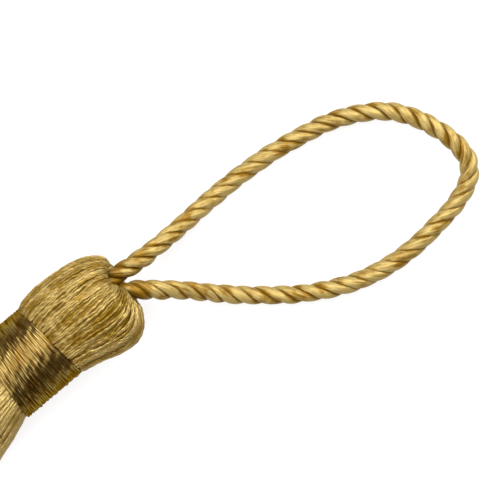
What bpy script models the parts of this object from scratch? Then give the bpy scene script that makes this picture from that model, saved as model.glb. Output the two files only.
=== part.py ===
"""A silk tassel lying on its side, in metres, +Z up.

A yarn skein is folded over a cord loop and bound at the neck, so it is one body: a rounded head, a core
under the binding, and a skirt of separate locks. +X runs from the skirt's cut ends to the head and the
loop. The origin is on the surface, under the middle of the head, neck and skirt.
"""

import math
import random
from typing import NamedTuple

import bmesh
import bpy
import numpy as np
from mathutils import Vector

# The tassel's axis, parallel to X, and where the binding's two edges cross it.
AXIS_Y = -0.0002
AXIS_Z = 0.0082
HEAD_EDGE_X = 0.0294
SKIRT_EDGE_X = 0.0190
# The binding is wound a little slack, so its edges aren't square to the axis.
EDGE_SLANT = 0.10
EDGE_LEAN = 0.08

CLEARANCE = 0.0003
CORE_RADIUS = 0.0064

# The neck binding.
WRAP_RADIUS = 0.0074
WRAP_INNER_RADIUS = CORE_RADIUS + CLEARANCE
WRAP_RIDGES = 9
WRAP_RIDGE_DEPTH = 0.00022
WRAP_UNEVEN = 0.00016
WRAP_EDGE_ROUND = 0.0003
WRAP_EDGE_SHARE = 0.02
WRAP_STEPS = 40
EVEN_RING = 0.001

# The head's yarn shows as shallow ribs, and its end slants a little.
RIB_DEPTH = 0.00035
TOP_SLANT = 0.07

# The skirt's locks, in a grid across the section.
LOCK_COLUMNS = 14
LOCK_ROWS = 8
LOCK_PARTING = 0.022
LOCK_SLIMMEST = 0.76
LOCK_FULLEST = 0.94
LOCK_STRAY = 0.00012
LOCK_UNEVEN_LENGTH = 0.0030
SKIRT_SWAY = 0.0007
SKIRT_SWAY_TURNS = 1.2
MOUND_TAPER = 0.20
MOUND_CROWN = 0.72

# The hanging loop: three strands laid up right-handed.
CORD_DIAMETER = 0.0030
CORD_STRANDS = 3
CORD_LAY_LENGTH = 0.0100
CORD_STEP = 0.00120
STRAND_ARC = (-78, -27, 27, 78)

# Light gold satin yarn, the same yarn wound tight and so darker, and the brighter cord.
YARN_COLOUR = (0.342, 0.216, 0.055)
BINDING_COLOUR = (0.223, 0.133, 0.028)
CORD_COLOUR = (0.480, 0.320, 0.100)
SATIN_ROUGHNESS = 0.42
SHARP_ANGLE = math.radians(50)


class HeadRing(NamedTuple):
    """One section of the head: its distance from the neck, and its reach from the axis each way."""

    from_neck: float
    plus_y: float
    minus_y: float
    up: float
    down: float
    ribbed: float


class SkirtSection(NamedTuple):
    """One section of the skirt: its distance from the neck, its size, and how far it has slumped."""

    from_neck: float
    half_width: float
    bottom: float
    top: float
    slumped: float


class RoutePoint(NamedTuple):
    """A point on the middle of the hanging loop's cord."""

    x: float
    y: float
    z: float


class Lock(NamedTuple):
    """How one lock of the skirt differs from its neighbours."""

    shorter: float
    fullness: float
    stray_y: float
    stray_z: float


HEAD_RINGS = [
    HeadRing(0.0003, 0.0064, 0.0064, 0.0064, 0.0064, 0.0),
    HeadRing(0.0003, 0.0075, 0.0075, 0.0075, 0.0075, 0.5),
    HeadRing(0.0014, 0.0080, 0.0077, 0.0079, 0.0079, 1.0),
    HeadRing(0.0036, 0.0083, 0.0082, 0.0083, 0.0083, 1.0),
    HeadRing(0.0060, 0.0083, 0.0089, 0.0085, 0.0085, 1.0),
    HeadRing(0.0083, 0.0081, 0.0094, 0.0086, 0.0086, 1.0),
    HeadRing(0.0103, 0.0078, 0.0096, 0.0084, 0.0085, 1.0),
    HeadRing(0.0121, 0.0073, 0.0093, 0.0079, 0.0080, 1.0),
    HeadRing(0.0136, 0.0067, 0.0084, 0.0070, 0.0070, 0.8),
    HeadRing(0.0147, 0.0059, 0.0070, 0.0057, 0.0057, 0.6),
    HeadRing(0.0153, 0.0051, 0.0055, 0.0044, 0.0044, 0.4),
    HeadRing(0.0154, 0.0044, 0.0046, 0.0031, 0.0031, 0.0),
    HeadRing(0.0147, 0.0041, 0.0043, 0.0024, 0.0024, 0.0),
    HeadRing(0.0131, 0.0037, 0.0039, 0.0020, 0.0020, 0.0),
]

SKIRT_SECTIONS = [
    SkirtSection(0.0014, 0.0074, 0.0008, 0.0157, 0.00),
    SkirtSection(0.0042, 0.0086, 0.0000, 0.0164, 0.12),
    SkirtSection(0.0080, 0.0099, 0.0000, 0.0161, 0.38),
    SkirtSection(0.0185, 0.0118, 0.0000, 0.0143, 0.75),
    SkirtSection(0.0370, 0.0130, 0.0000, 0.0124, 1.00),
    SkirtSection(0.0640, 0.0136, 0.0000, 0.0112, 1.00),
]

# From the upper root in the head's hollow, round the loop on the surface, to the lower root.
LOOP_ROUTE = [
    RoutePoint(0.0428, 0.0013, 0.0082),
    RoutePoint(0.0445, 0.0011, 0.0082),
    RoutePoint(0.0465, 0.0008, 0.0081),
    RoutePoint(0.0493, 0.0005, 0.0075),
    RoutePoint(0.0534, 0.0004, 0.0059),
    RoutePoint(0.0578, 0.0005, 0.0040),
    RoutePoint(0.0622, 0.0007, 0.0025),
    RoutePoint(0.0666, 0.0008, 0.0017),
    RoutePoint(0.0710, 0.0007, 0.00155),
    RoutePoint(0.0770, 0.0002, 0.00155),
    RoutePoint(0.0828, -0.0008, 0.00155),
    RoutePoint(0.0881, -0.0021, 0.00155),
    RoutePoint(0.0930, -0.0043, 0.00155),
    RoutePoint(0.0969, -0.0072, 0.00155),
    RoutePoint(0.0995, -0.0108, 0.00155),
    RoutePoint(0.1012, -0.0149, 0.00155),
    RoutePoint(0.1020, -0.0186, 0.00155),
    RoutePoint(0.1017, -0.0218, 0.00155),
    RoutePoint(0.1001, -0.0241, 0.00155),
    RoutePoint(0.0978, -0.0254, 0.00155),
    RoutePoint(0.0948, -0.0263, 0.00155),
    RoutePoint(0.0912, -0.0268, 0.00155),
    RoutePoint(0.0866, -0.0272, 0.00155),
    RoutePoint(0.0820, -0.0271, 0.00155),
    RoutePoint(0.0777, -0.0264, 0.00155),
    RoutePoint(0.0735, -0.0251, 0.00155),
    RoutePoint(0.0693, -0.0231, 0.00155),
    RoutePoint(0.0650, -0.0204, 0.00155),
    RoutePoint(0.0606, -0.0169, 0.0016),
    RoutePoint(0.0574, -0.0141, 0.0020),
    RoutePoint(0.0545, -0.0112, 0.0031),
    RoutePoint(0.0522, -0.0088, 0.0046),
    RoutePoint(0.0499, -0.0066, 0.0062),
    RoutePoint(0.0476, -0.0046, 0.0075),
    RoutePoint(0.0457, -0.0030, 0.0081),
    RoutePoint(0.0443, -0.0022, 0.0082),
    RoutePoint(0.0428, -0.0020, 0.0082),
]


def clear_scene():
    for obj in list(bpy.data.objects):
        bpy.data.objects.remove(obj, do_unlink=True)


def new_collection(name):
    collection = bpy.data.collections.new(name)
    bpy.context.scene.collection.children.link(collection)
    return collection


def satin(name, colour):
    material = bpy.data.materials.new(name)
    material.use_nodes = True
    shader = material.node_tree.nodes["Principled BSDF"]
    shader.inputs["Base Color"].default_value = (*colour, 1.0)
    shader.inputs["Roughness"].default_value = SATIN_ROUGHNESS
    shader.inputs["Metallic"].default_value = 0.0
    return material


def mesh_object(name, bm, collection, material):
    """Finishes a mesh: smooth faces, sharp at the grooves already marked and at every steep edge."""
    bmesh.ops.recalc_face_normals(bm, faces=bm.faces)
    for face in bm.faces:
        face.smooth = True
    for edge in bm.edges:
        edge.smooth = edge.smooth and edge.calc_face_angle(0) < SHARP_ANGLE
    mesh = bpy.data.meshes.new(name)
    bm.to_mesh(mesh)
    bm.free()
    mesh.materials.append(material)
    obj = bpy.data.objects.new(name, mesh)
    collection.objects.link(obj)
    return obj


def blend(start, end, share):
    return start + (end - start) * share


def head_edge_x(y, z):
    """Where the binding ends towards the head."""
    return HEAD_EDGE_X - EDGE_SLANT * (y - AXIS_Y) + EDGE_LEAN * (z - AXIS_Z)


def skirt_edge_x(y, z):
    """Where the binding ends towards the skirt."""
    return SKIRT_EDGE_X + EDGE_SLANT * (y - AXIS_Y) + EDGE_LEAN * (z - AXIS_Z)


def on_disc(u, v):
    """A point of the square from -1 to 1, moved so that the square's rim lies on the unit circle."""
    return u * math.sqrt(1 - v * v / 2), v * math.sqrt(1 - u * u / 2)


def rib_depths():
    """How far each column of the head's rim lies in: every other one, unevenly."""
    chance = random.Random(3)
    count = 2 * (LOCK_COLUMNS + LOCK_ROWS)
    return [RIB_DEPTH * chance.uniform(0.4, 1.0) if i % 2 else 0.0 for i in range(count)]


def rim_column(u, v):
    """The number of a rim point of the grid, counted round it from the corner at -1, -1."""
    across = round((u + 1) / 2 * LOCK_COLUMNS)
    up = round((v + 1) / 2 * LOCK_ROWS)
    if up == 0:
        return across
    if across == LOCK_COLUMNS:
        return LOCK_COLUMNS + up
    if up == LOCK_ROWS:
        return 2 * LOCK_COLUMNS + LOCK_ROWS - across
    return (2 * (LOCK_COLUMNS + LOCK_ROWS) - up) % (2 * (LOCK_COLUMNS + LOCK_ROWS))


def mark_head_grooves(bm, aspect):
    """The edges that run along the head in its inner columns are its grooves."""
    for edge in bm.edges:
        start, end = [round(vert.co.z) for vert in edge.verts]
        if max(start, end) < 0 and start != end:
            corner = edge.verts[0].co
            edge.smooth = rim_column(corner.x / aspect, corner.y) % 2 == 0


def head_point(u, v, ring, ribs):
    """A rim point of the grid on one section of the head."""
    cy, cz = on_disc(u, v)
    rib = ribs[rim_column(u, v)] * ring.ribbed
    y = AXIS_Y + cy * ((ring.plus_y if cy > 0 else ring.minus_y) - rib)
    z = max(AXIS_Z + cz * ((ring.up if cz > 0 else ring.down) - rib), 0.0)
    share = ring.from_neck / HEAD_RINGS[-3].from_neck
    edge_slant = head_edge_x(y, z) - HEAD_EDGE_X
    top_slant = TOP_SLANT * (y - AXIS_Y)
    return Vector((HEAD_EDGE_X + ring.from_neck + blend(edge_slant, top_slant, share), y, z))


def locks():
    """The differences of each lock, by its column and row."""
    chance = random.Random(11)
    return {
        (column, row): Lock(
            shorter=chance.uniform(0, LOCK_UNEVEN_LENGTH),
            fullness=chance.uniform(LOCK_SLIMMEST, LOCK_FULLEST),
            stray_y=chance.uniform(-LOCK_STRAY, LOCK_STRAY),
            stray_z=chance.uniform(-LOCK_STRAY, LOCK_STRAY),
        )
        for column in range(LOCK_COLUMNS)
        for row in range(LOCK_ROWS)
    }


def cell_of(value, count):
    """The number of the grid cell that holds a value from -1 to 1, and the cell's middle."""
    cell = min(int((value + 1) / 2 * count), count - 1)
    return cell, (cell + 0.5) * 2 / count - 1


def skirt_point(u, v, section, all_locks):
    """A corner of a lock on one section of the skirt. The lowest locks lie level on the surface."""
    column, middle_u = cell_of(u, LOCK_COLUMNS)
    row, middle_v = cell_of(v, LOCK_ROWS)
    lock = all_locks[column, row]
    share = section.from_neck / SKIRT_SECTIONS[-1].from_neck
    fullness = blend(1.0, lock.fullness, min(3 * share, 1.0))
    u = (middle_u + (u - middle_u) * fullness) / (1 - LOCK_PARTING * LOCK_ROWS / LOCK_COLUMNS)
    v = (v if row == 0 else middle_v + (v - middle_v) * fullness) / (1 - LOCK_PARTING)
    round_u, round_v = on_disc(u, v)
    height = (v + 1) / 2
    low_u = u * (1 - MOUND_TAPER * height * height)
    low_v = 2 * height * math.sqrt(1 - MOUND_CROWN * u * u) - 1
    across = blend(round_u, low_u, section.slumped)
    up = (blend(round_v, low_v, section.slumped) + 1) / 2
    sway = SKIRT_SWAY * share * math.sin(2 * math.pi * SKIRT_SWAY_TURNS * share + 1.4 * u)
    y = AXIS_Y + section.half_width * across + sway + lock.stray_y * share
    z = blend(section.bottom, section.top, up)
    if row > 0:
        z += (lock.stray_z + sway * 0.4 * height) * share
    edge = skirt_edge_x(y, z) - SKIRT_EDGE_X
    x = SKIRT_EDGE_X - section.from_neck + edge * (1 - share) + lock.shorter * share * share
    return Vector((x, y, z))


def yarn_bundle(collection, material):
    """Head, core and skirt in one body.

    The body is first laid out in a space of its own, where x and y run over a grid across the skein and z
    counts the sections: 0 is the plane of the locks' roots, locks rise from it, and the core and head hang
    below it. Every point is then moved to its place on the tassel.
    """
    bm = bmesh.new()
    bmesh.ops.create_grid(bm, x_segments=LOCK_COLUMNS, y_segments=LOCK_ROWS, size=1)
    aspect = LOCK_COLUMNS / LOCK_ROWS
    bmesh.ops.scale(bm, vec=(aspect, 1, 1), verts=bm.verts)
    cells = list(bm.faces)
    bmesh.ops.inset_individual(bm, faces=cells, thickness=LOCK_PARTING, use_even_offset=True)
    rim = [edge for edge in bm.edges if edge.is_boundary]
    for _ in SKIRT_SECTIONS:
        raised = bmesh.ops.extrude_discrete_faces(bm, faces=cells)
        cells = raised["faces"]
        tips = {vert for face in cells for vert in face.verts}
        bmesh.ops.translate(bm, vec=(0, 0, 1), verts=list(tips))
    for _ in HEAD_RINGS:
        bmesh.ops.extrude_edge_only(bm, edges=rim)
        rim = [edge for edge in bm.edges if edge.is_boundary]
        rim_verts = {vert for edge in rim for vert in edge.verts}
        bmesh.ops.translate(bm, vec=(0, 0, -1), verts=list(rim_verts))
    bmesh.ops.edgeloop_fill(bm, edges=rim)
    mark_head_grooves(bm, aspect)

    ribs = rib_depths()
    all_locks = locks()
    for vert in bm.verts:
        u, v, level = vert.co.x / aspect, vert.co.y, round(vert.co.z)
        if level > 0:
            vert.co = skirt_point(u, v, SKIRT_SECTIONS[level - 1], all_locks)
        elif level < 0:
            vert.co = head_point(u, v, HEAD_RINGS[-level - 1], ribs)
        else:
            cy, cz = on_disc(u, v)
            y, z = AXIS_Y + CORE_RADIUS * cy, AXIS_Z + CORE_RADIUS * cz
            vert.co = Vector((skirt_edge_x(y, z), y, z))
    return mesh_object("yarn_bundle", bm, collection, material)


def ridge_share(i):
    """How far along the binding a corner of its ridges lies: the even corners are grooves."""
    return WRAP_EDGE_SHARE + (1 - 2 * WRAP_EDGE_SHARE) * i / (2 * WRAP_RIDGES)


def mark_wrap_grooves(bm):
    """The edges that run round the binding between two ridges are its grooves."""
    grooves = [ridge_share(i) for i in range(0, 2 * WRAP_RIDGES + 1, 2)]
    for edge in bm.edges:
        start, end = [vert.co.x for vert in edge.verts]
        if abs(start - end) < EVEN_RING:
            edge.smooth = all(abs(start - groove) > EVEN_RING for groove in grooves)


def wrap_outline():
    """The binding's section: pairs of share along the neck and radius, out along the ridges and back."""
    chance = random.Random(5)
    outline = [(0.0, WRAP_INNER_RADIUS), (0.0, WRAP_RADIUS - 2 * WRAP_EDGE_ROUND)]
    for i in range(2 * WRAP_RIDGES + 1):
        at_end = i in (0, 2 * WRAP_RIDGES)
        groove = 0.0 if i % 2 else WRAP_RIDGE_DEPTH
        drop = WRAP_EDGE_ROUND if at_end else groove + chance.uniform(0, WRAP_UNEVEN)
        outline.append((ridge_share(i), WRAP_RADIUS - drop))
    outline += [(1.0, WRAP_RADIUS - 2 * WRAP_EDGE_ROUND), (1.0, WRAP_INNER_RADIUS)]
    return outline


def neck_wrap(collection, material):
    """The binding: its section spun round the axis, then its two ends slanted."""
    bm = bmesh.new()
    corners = [bm.verts.new((share, 0, radius)) for share, radius in wrap_outline()]
    sides = [bm.edges.new((corners[i - 1], corners[i])) for i in range(len(corners))]
    bmesh.ops.spin(
        bm,
        geom=corners + sides,
        cent=(0, 0, 0),
        axis=(1, 0, 0),
        angle=2 * math.pi,
        steps=WRAP_STEPS,
        use_merge=True,
        use_duplicate=False,
    )
    mark_wrap_grooves(bm)
    for vert in bm.verts:
        share, y, z = vert.co.x, AXIS_Y + vert.co.y, AXIS_Z + vert.co.z
        vert.co = Vector((blend(skirt_edge_x(y, z), head_edge_x(y, z), share), y, z))
    return mesh_object("neck_wrap", bm, collection, material)


def smooth_route(route, step):
    """Points an even step apart on a Catmull-Rom curve through the route."""
    points = np.array(route)
    padded = np.vstack([2 * points[0] - points[1], points, 2 * points[-1] - points[-2]])
    share = np.linspace(0, 1, 24, endpoint=False)[:, None]
    dense = []
    for before, start, end, after in zip(padded, padded[1:], padded[2:], padded[3:]):
        dense.append(
            start
            + 0.5 * share * (end - before)
            + share**2 * (before - 2.5 * start + 2 * end - 0.5 * after)
            + 0.5 * share**3 * (3 * (start - end) + after - before)
        )
    dense = np.vstack([*dense, points[-1]])
    run = np.concatenate([[0], np.cumsum(np.linalg.norm(np.diff(dense, axis=0), axis=1))])
    even = np.linspace(0, run[-1], round(run[-1] / step) + 1)
    return np.stack([np.interp(even, run, dense[:, axis]) for axis in range(3)], axis=1), run[-1]


def cord_section(collection):
    """The outline of round strands laid together, as a guide that the cord's curve sweeps."""
    strand_radius = CORD_DIAMETER / 2 / (1 + 1 / math.sin(math.pi / CORD_STRANDS))
    strand_middle = CORD_DIAMETER / 2 - strand_radius
    curve = bpy.data.curves.new("cord_section", "CURVE")
    curve.dimensions = "2D"
    spline = curve.splines.new("POLY")
    spline.points.add(CORD_STRANDS * len(STRAND_ARC) - 1)
    spline.use_cyclic_u = True
    places = [(-strand, -arc) for strand in range(CORD_STRANDS) for arc in STRAND_ARC]
    for point, (strand, arc) in zip(spline.points, places):
        outward = 2 * math.pi * strand / CORD_STRANDS
        around = outward + math.radians(arc)
        x = strand_middle * math.cos(outward) + strand_radius * math.cos(around)
        y = strand_middle * math.sin(outward) + strand_radius * math.sin(around)
        point.co = (x, y, 0, 1)
    guide = bpy.data.objects.new("cord_section", curve)
    guide.hide_render = True
    guide.display_type = "WIRE"
    collection.objects.link(guide)
    return guide


def hanging_loop(collection, guides, material):
    """The twisted cord, from one root in the head's hollow to the other."""
    points, length = smooth_route(LOOP_ROUTE, CORD_STEP)
    curve = bpy.data.curves.new("hanging_loop", "CURVE")
    curve.dimensions = "3D"
    curve.twist_mode = "MINIMUM"
    curve.bevel_mode = "OBJECT"
    curve.bevel_object = cord_section(guides)
    curve.use_fill_caps = True
    spline = curve.splines.new("POLY")
    spline.points.add(len(points) - 1)
    for i, (point, place) in enumerate(zip(spline.points, points)):
        point.co = (*place, 1)
        point.tilt = 2 * math.pi * i / (len(points) - 1) * length / CORD_LAY_LENGTH
    spline.use_smooth = True
    curve.materials.append(material)
    obj = bpy.data.objects.new("hanging_loop", curve)
    collection.objects.link(obj)
    return obj


def build():
    clear_scene()
    tassel = new_collection("silk_tassel")
    guides = new_collection("guides")
    yarn_bundle(tassel, satin("skein_yarn", YARN_COLOUR))
    neck_wrap(tassel, satin("binding_thread", BINDING_COLOUR))
    hanging_loop(tassel, guides, satin("twisted_cord", CORD_COLOUR))


build()
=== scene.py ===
"""A silk tassel lying on a pale floor: the yarn, the binding thread and the twisted cord, in metres."""

import math
from typing import NamedTuple

import bmesh
import bpy
import numpy as np
from mathutils import Matrix, Vector


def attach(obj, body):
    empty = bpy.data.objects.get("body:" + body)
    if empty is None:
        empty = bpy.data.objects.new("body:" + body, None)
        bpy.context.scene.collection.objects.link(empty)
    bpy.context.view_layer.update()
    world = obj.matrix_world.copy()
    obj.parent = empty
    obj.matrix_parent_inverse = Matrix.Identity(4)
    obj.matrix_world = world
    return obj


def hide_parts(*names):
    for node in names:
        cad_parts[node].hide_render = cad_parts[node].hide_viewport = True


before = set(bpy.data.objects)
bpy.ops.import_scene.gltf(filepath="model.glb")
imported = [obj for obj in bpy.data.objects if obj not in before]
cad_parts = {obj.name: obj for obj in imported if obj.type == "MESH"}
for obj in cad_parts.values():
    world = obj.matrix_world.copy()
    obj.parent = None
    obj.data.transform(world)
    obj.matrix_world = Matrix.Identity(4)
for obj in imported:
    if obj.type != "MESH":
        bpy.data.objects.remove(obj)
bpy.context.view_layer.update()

MM = 0.001
TURN = 2 * math.pi


class Satin(NamedTuple):
    """A satin finish: its two golds, its sheen's tint, its gloss, and how its plies and filaments show.

    filaments is their number round the yarn, pace how often they change along a millimetre, fuzz how far
    they stand up and plies how far the plies do; streaky, toned and patchy say how much the colour of the
    filaments, the tone attribute and the patches over the whole piece count.
    """

    deep: tuple
    bright: tuple
    sheen: tuple
    roughness: float
    metallic: float
    plies: float
    filaments: float
    pace: float
    fuzz: float
    streaky: float
    toned: float
    patchy: float


class YarnKind(NamedTuple):
    """One kind of the skirt's yarn: its width, how far it strays in or out, and how finely it is modelled."""

    width: float
    stray: float
    sides: int
    near_rings: int
    far_rings: int


# The view: almost straight down on the tassel from 450 mm, six pixels to the millimetre.
CAMERA_DISTANCE = 0.450
CAMERA_AIM = Vector((0.06418, -0.00998, 0.004))
CAMERA_TILT = math.radians(1.5)
CAMERA_ROLL = math.radians(40)
CAMERA_CLIP = 0.01
PICTURE_PIXELS = 500
PIXELS_PER_MM = 6
VIEW_WIDTH = PICTURE_PIXELS / PIXELS_PER_MM * MM
SENSOR_WIDTH = 36

# The tassel's own sizes, as in its solids: its middle line, and the edges of its binding, which slant over
# its width and lean over its height. The head's top slants too.
AXIS_Y = -0.0002
AXIS_Z = 0.0082
HEAD_EDGE_X = 0.0294
SKIRT_EDGE_X = 0.0190
EDGE_SLANT = 0.10
EDGE_LEAN = 0.08
TOP_SLANT = 0.07

# Nothing lies nearer to the floor than this.
FLOOR_GAP = 0.00002

# A drift is a sum of waves, each with its share of the wavelength and its weight. Values whose names end in
# DRIFT hold a drift's size and its wavelength.
DRIFT_WAVES = ((1.0, 0.5), (0.61, 0.32), (0.37, 0.18))
DRIFT_STRETCH = (0.8, 1.25)

# Each part's random draws start from a number of its own.
CORD_SEED = 21
HEAD_SEED = 8
SKIRT_SEED = 15
THREAD_SEED = 4
RIPPLE_SEED = 77

# How finely a curve is sampled before it is divided evenly: the cord's route between two of its points,
# the head's outside from end to end, and the skirt's outside once round.
ROUTE_SAMPLES = 24
HEAD_SAMPLES = 400
SKIRT_SAMPLES = 1441

# The loop's cord: three strands laid up right-handed, each of soft filament. A strand's middle lies
# STRAND_MIDDLE from the cord's; its half sizes are STRAND_DEEP outward and STRAND_WIDE across.
CORD_DIAMETER = 0.0030
CORD_LAY_LENGTH = 0.0100
CORD_STRANDS = 3
CORD_STEP = 0.00026
STRAND_MIDDLE = 0.00085
STRAND_DEEP = 0.00072
STRAND_WIDE = 0.00083
STRAND_SIDES = 28
STRAND_RIDGES = 9
RIDGE_HEIGHT = 0.018
FIBRE_PITCH = 0.012
CORD_LAY_DRIFT = (0.16, 0.021)
STRAND_LAY_DRIFT = (0.07, 0.013)
STRAND_MIDDLE_DRIFT = (0.03, 0.009)
FIBRE_TURN_DRIFT = (0.05, 0.015)
STRAND_SIZE_DRIFT = (0.045, 0.008)
# Where the cord bends, its strands lie steeper and stand out; near its roots it swells. The strands
# themselves take STRAND_SWELL of that.
BEND_POINTS = 31
BEND_TWIST = 0.15
BEND_SWELL = 0.0005
ROOT_SWELL = 0.08
ROOT_SWELL_AT = 0.0080
ROOT_SWELL_REACH = 0.0028
STRAND_SWELL = 0.5
# Stretches of the cord, by their middle and reach, where its strands lie loose: they are wider, their painted
# groove shade reaches farther, and painted light lifts the cord's sides, below LOOSE_SIDE of its radius.
LOOSE_STRETCHES = ((0.027, 0.016), (0.093, 0.013))
LOOSE_WIDTH = 0.18
LOOSE_GROOVE_SHADE = 0.00017
LOOSE_SIDE_LIGHT = 0.7
LOOSE_SIDE = 0.7
# Painted shade: the tone is deep in the grooves, out to this reach from the cord's middle, and near the roots
# by the head's hollow.
GROOVE_SHADE_REACH = 0.00120
CREST_TONE = 0.72
ROOT_SHADE = 0.6
ROOT_SHADE_END = 0.0078
ROOT_SHADE_FADE = 0.0050

# The skein's yarn: two plies, twisted left-handed. Its filaments start anywhere within START_TURNS.
PLY_PITCH = 0.0028
START_TURNS = 40

# The binding thread, wound on in two layers: each one's depth in thread radii, and how far it strays
# outward and along the neck.
THREAD_RADIUS = 0.00021
THREAD_FLAT = 0.45
THREAD_SIDES = 6
THREAD_TURNS = 31
THREAD_POINTS = 170
THREAD_ENDS = (0.012, 0.988)
THREAD_LAYERS = {"neck_threads": (1.4, 0.00007, 0.004), "neck_threads_over": (0.4, 0.00011, 0.007)}
THREAD_STRAY_WAVE = 0.013
THREAD_LIFT_WAVE = 0.0048
THREAD_RADIUS_DRIFT = (0.10, 0.011)
THREAD_TONE_DRIFT = (0.5, 0.030)
THREAD_MIDDLE_TONE = 0.5
# Painted shade: where two turns meet, on each thread's flanks, the tone is deeper.
MEETING_COSINE = 0.9
MEETING_SHADE = 2.0
# The binding's outside, which falls off at both edges and ripples with what lies under it.
WRAP_RADIUS = 0.0074
WRAP_LENGTH = 0.0104
WRAP_EDGE_SHARE = 0.035
WRAP_EDGE_DROP = 0.00022
RIPPLES = 14
RIPPLE_HEIGHT = 0.00006
RIPPLE_ALONG = 0.0009
RIPPLE_AROUND = 0.0045
RIPPLE_STRETCH = (0.6, 1.5)
RIPPLE_MOST_TURNS = 3

# From the upper root in the head's hollow, round the loop on the floor, to the lower root.
LOOP_ROUTE = [
    (0.0415, 0.0014, 0.0082),
    (0.0428, 0.0013, 0.0082),
    (0.0445, 0.0011, 0.0082),
    (0.0465, 0.0008, 0.0081),
    (0.0493, 0.0005, 0.0075),
    (0.0534, 0.0004, 0.0059),
    (0.0578, 0.0005, 0.0040),
    (0.0622, 0.0007, 0.0025),
    (0.0666, 0.0008, 0.0017),
    (0.0710, 0.0007, 0.00155),
    (0.0770, 0.0002, 0.00155),
    (0.0828, -0.0008, 0.00155),
    (0.0881, -0.0021, 0.00155),
    (0.0930, -0.0043, 0.00155),
    (0.0969, -0.0072, 0.00155),
    (0.0995, -0.0108, 0.00155),
    (0.1012, -0.0149, 0.00155),
    (0.1020, -0.0186, 0.00155),
    (0.1017, -0.0218, 0.00155),
    (0.1001, -0.0241, 0.00155),
    (0.0978, -0.0254, 0.00155),
    (0.0948, -0.0263, 0.00155),
    (0.0912, -0.0268, 0.00155),
    (0.0866, -0.0272, 0.00155),
    (0.0820, -0.0271, 0.00155),
    (0.0777, -0.0264, 0.00155),
    (0.0735, -0.0251, 0.00155),
    (0.0693, -0.0231, 0.00155),
    (0.0650, -0.0204, 0.00155),
    (0.0606, -0.0169, 0.0016),
    (0.0574, -0.0141, 0.0020),
    (0.0545, -0.0112, 0.0031),
    (0.0522, -0.0088, 0.0046),
    (0.0499, -0.0066, 0.0062),
    (0.0476, -0.0046, 0.0075),
    (0.0457, -0.0030, 0.0081),
    (0.0443, -0.0022, 0.0082),
    (0.0428, -0.0020, 0.0082),
    (0.0415, -0.0019, 0.0082),
]

# Sections of the head, in millimetres: distance from the neck, then reach to +Y, -Y, up and down.
# The first two lie under the binding and the last ones in the hollow, close round the cord.
HEAD_RINGS = np.array([
    (-2.2, 6.9, 6.9, 6.9, 6.9),
    (-0.6, 7.1, 7.1, 7.1, 7.1),
    (0.3, 7.55, 7.5, 7.5, 7.5),
    (1.4, 8.0, 7.7, 7.9, 7.9),
    (3.6, 8.3, 8.2, 8.3, 8.3),
    (6.0, 8.3, 8.9, 8.5, 8.5),
    (8.3, 8.1, 9.4, 8.6, 8.6),
    (10.3, 7.8, 9.6, 8.4, 8.5),
    (12.1, 7.3, 9.3, 7.9, 8.0),
    (13.6, 6.5, 8.4, 7.0, 7.0),
    (14.7, 5.65, 7.0, 5.7, 5.7),
    (15.3, 4.85, 5.7, 4.5, 4.5),
    (15.35, 4.5, 4.9, 3.3, 3.3),
    (14.7, 4.1, 4.4, 2.5, 2.5),
    (13.4, 3.8, 4.0, 2.1, 2.1),
    (12.2, 3.5, 3.7, 1.8, 1.8),
]) * MM
HEAD_LENGTH = 0.0154
# The yarn is drawn in and back round the cord's upper root, so that the hollow shows from above.
HOLLOW_Y = 0.0009
NOTCH_DEEP = 0.0020
NOTCH_WIDE = 0.0018
NOTCH_STARTS = 8.5
NOTCH_FULL = 12.0
GATHER = 0.6
GATHER_WIDE = 0.0045

# The head's yarns.
HEAD_YARNS = 138
HEAD_YARN_RADIUS = 0.00021
HEAD_YARN_FULLNESS = 1.15
HEAD_YARN_FLAT = 0.78
HEAD_YARN_LOBES = 0.13
HEAD_YARN_SIDES = 8
HEAD_YARN_RINGS = 106
HEAD_YARN_STRAY = 0.22
HEAD_TURN_DRIFT = (0.030, 0.017)
HEAD_KINK_DRIFT = (0.012, 0.006)
HEAD_RADIUS_DRIFT = (0.12, 0.008)
HEAD_LIFT_DRIFT = (0.00009, 0.010)
HEAD_LIFT = 0.00010
# In the hollow, counted in sections of the head, they are thinner and lie deeper.
HOLLOW_STARTS = 11
HOLLOW_FULL = 15
HOLLOW_THINNING = 0.35
HOLLOW_DROP = 0.00022
# The creases between groups of them crowd to -Y and up. There the yarns lie deeper, and painted shade darkens
# their tone.
CREASES = 30
CREASE_ANGLE = 0.72 * math.pi
CREASE_SPREAD = 0.42 * math.pi
CREASE_SLANT = 9
CREASE_STARTS = (-0.004, 0.016)
CREASE_REACHES = (0.006, 0.016)
CREASE_WIDTH = 0.05
CREASE_STRENGTHS = (0.5, 1.0)
CREASE_DEPTH = 0.00040
CREASE_SHADE = 0.8

# The yarn inside, in place of the imported yarn solid: two rings across the binding's edge towards the skirt,
# then the head's levels.
CORE_RADIUS = 0.0064
CORE_END_RADIUS = CORE_RADIUS - 0.0004
CORE_END_STEP = 0.002
CORE_SEGMENTS = 72
CORE_LEVELS = 46
CORE_INSET = 0.00042

# Sections of the skirt, in millimetres: distance from the neck, half width, bottom, top, then how slumped.
SKIRT_SECTIONS = np.array([
    (-3.0, 6.6, 1.6, 14.8, 0.0),
    (-0.4, 6.8, 1.4, 15.0, 0.0),
    (1.4, 7.5, 0.8, 15.7, 0.0),
    (4.2, 8.6, 0.0, 16.4, 0.12),
    (8.0, 9.9, 0.0, 16.1, 0.38),
    (18.5, 11.8, 0.0, 14.3, 0.75),
    (37.0, 13.0, 0.0, 12.4, 1.0),
    (64.0, 13.6, 0.0, 11.2, 1.0),
])
SKIRT_LENGTH = 0.064
SKIRT_SWAY = 0.0007
SKIRT_SWAY_TURNS = 1.2
SKIRT_SWAY_LAG = 1.4
SKIRT_SWAY_RISE = 0.4
MOUND_TAPER = 0.20
MOUND_CROWN = 0.72

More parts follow.
